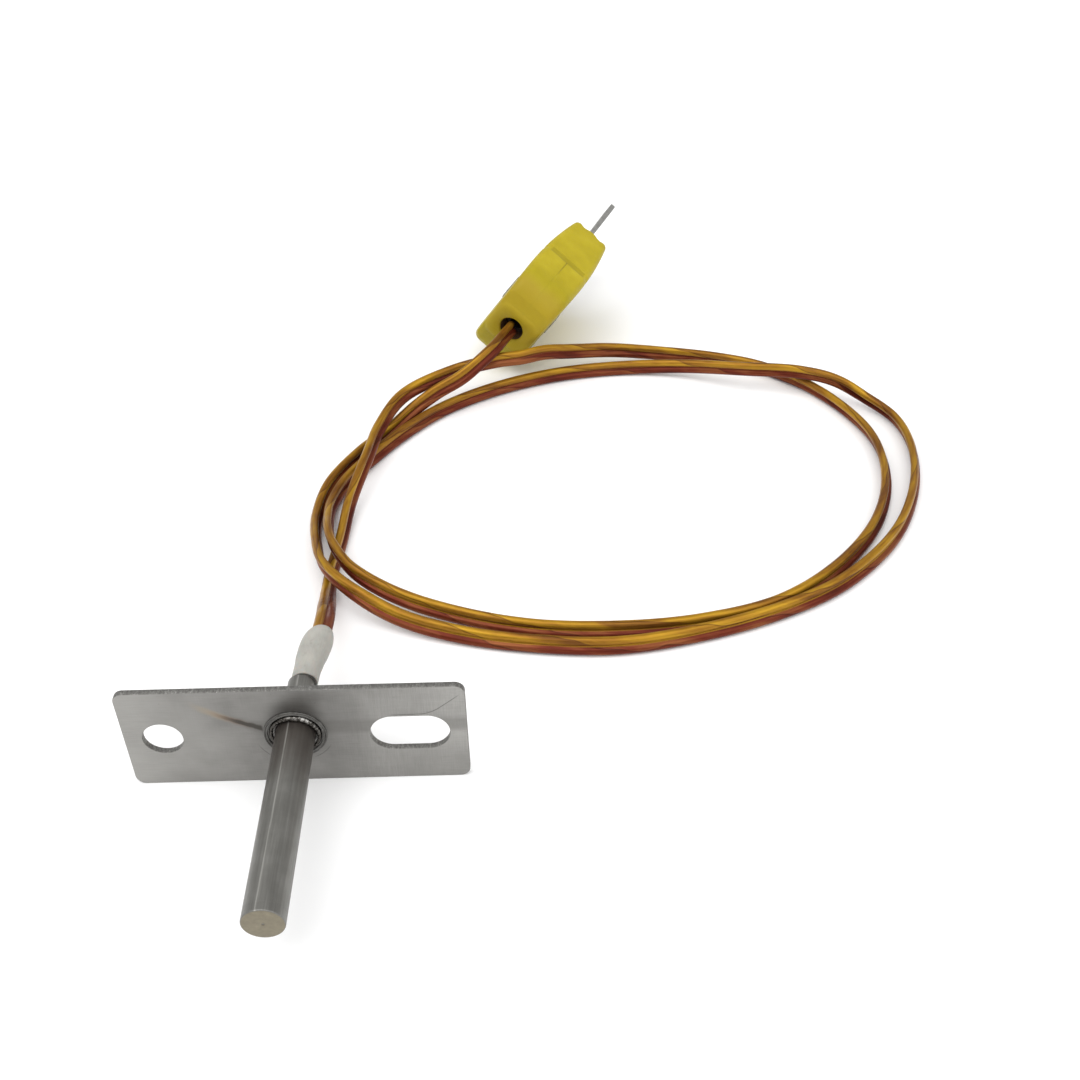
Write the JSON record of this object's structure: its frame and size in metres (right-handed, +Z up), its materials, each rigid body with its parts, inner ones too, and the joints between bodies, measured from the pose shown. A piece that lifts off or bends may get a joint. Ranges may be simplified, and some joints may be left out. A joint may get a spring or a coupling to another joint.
{
  "type": "flanged thermocouple temperature probe",
  "caption": "Closed steel sheath welded through a slotted mounting plate, with a shrink sleeve, a loosely coiled amber twin lead and a yellow flat-blade miniature plug.",
  "frame": {"origin": "bottom centre of the probe without its lead and plug: under the middle of the sheath, plate and sleeve, at the height of the mounting plate's long lower edge", "axes": "+X along the mounting plate towards its slotted end, +Y along the sheath from the closed tip towards the lead, +Z up"},
  "size_m": [0.0936, 0.133, 0.0172],
  "materials": {
    "plate_steel": "brushed sheet, scratched",
    "sheath_steel": "drawn tube, lengthwise streaks",
    "tip_steel": "ground end, straw heat tint",
    "weld_steel": "rippled weld",
    "bush_steel": "turned",
    "ceramic": "fired ceramic",
    "potting": "cement",
    "thermo_alloy": "drawn wire",
    "ferrule_metal": "crimped barrel",
    "amber_film": "wrapped polyimide film",
    "red_film": "wrapped film, red-brown leg",
    "white_sleeve": "shrunk sleeve, scuffed",
    "yellow_plastic": "moulded nylon, fine texture",
    "blade_alloy": "stamped blade",
    "screw_steel": "zinc plated",
    "grommet_rubber": "dark soft bush"
  },
  "bodies": {
    "root": {"mounting_plate": "plate_steel", "sheath_tube": "sheath_steel", "tip_cap": "tip_steel", "front_collar": "plate_steel", "front_weld_bead": "weld_steel", "rear_weld_bead": "weld_steel", "rear_bush": "bush_steel", "rear_tube": "sheath_steel", "ceramic_insulator_1": "ceramic", "ceramic_insulator_2": "ceramic", "ceramic_insulator_3": "ceramic", "ceramic_insulator_4": "ceramic", "rear_insulator": "ceramic", "rear_potting": "potting", "hot_junction": "thermo_alloy", "thermo_wire_positive": "thermo_alloy", "thermo_wire_negative": "thermo_alloy", "splice_ferrule_positive": "ferrule_metal", "splice_ferrule_negative": "ferrule_metal", "lead_leg_positive": "amber_film", "lead_leg_negative": "red_film", "shrink_sleeve": "white_sleeve", "lead_cable": "amber_film", "plug_base": "yellow_plastic", "plug_cap": "yellow_plastic", "blade_positive": "blade_alloy", "blade_negative": "blade_alloy", "terminal_screw_positive": "screw_steel", "terminal_screw_negative": "screw_steel", "lead_tail_positive": "thermo_alloy", "lead_tail_negative": "thermo_alloy", "cover_screw": "screw_steel", "cover_nut": "screw_steel", "cord_grommet": "grommet_rubber"}
  },
  "joints": []
}
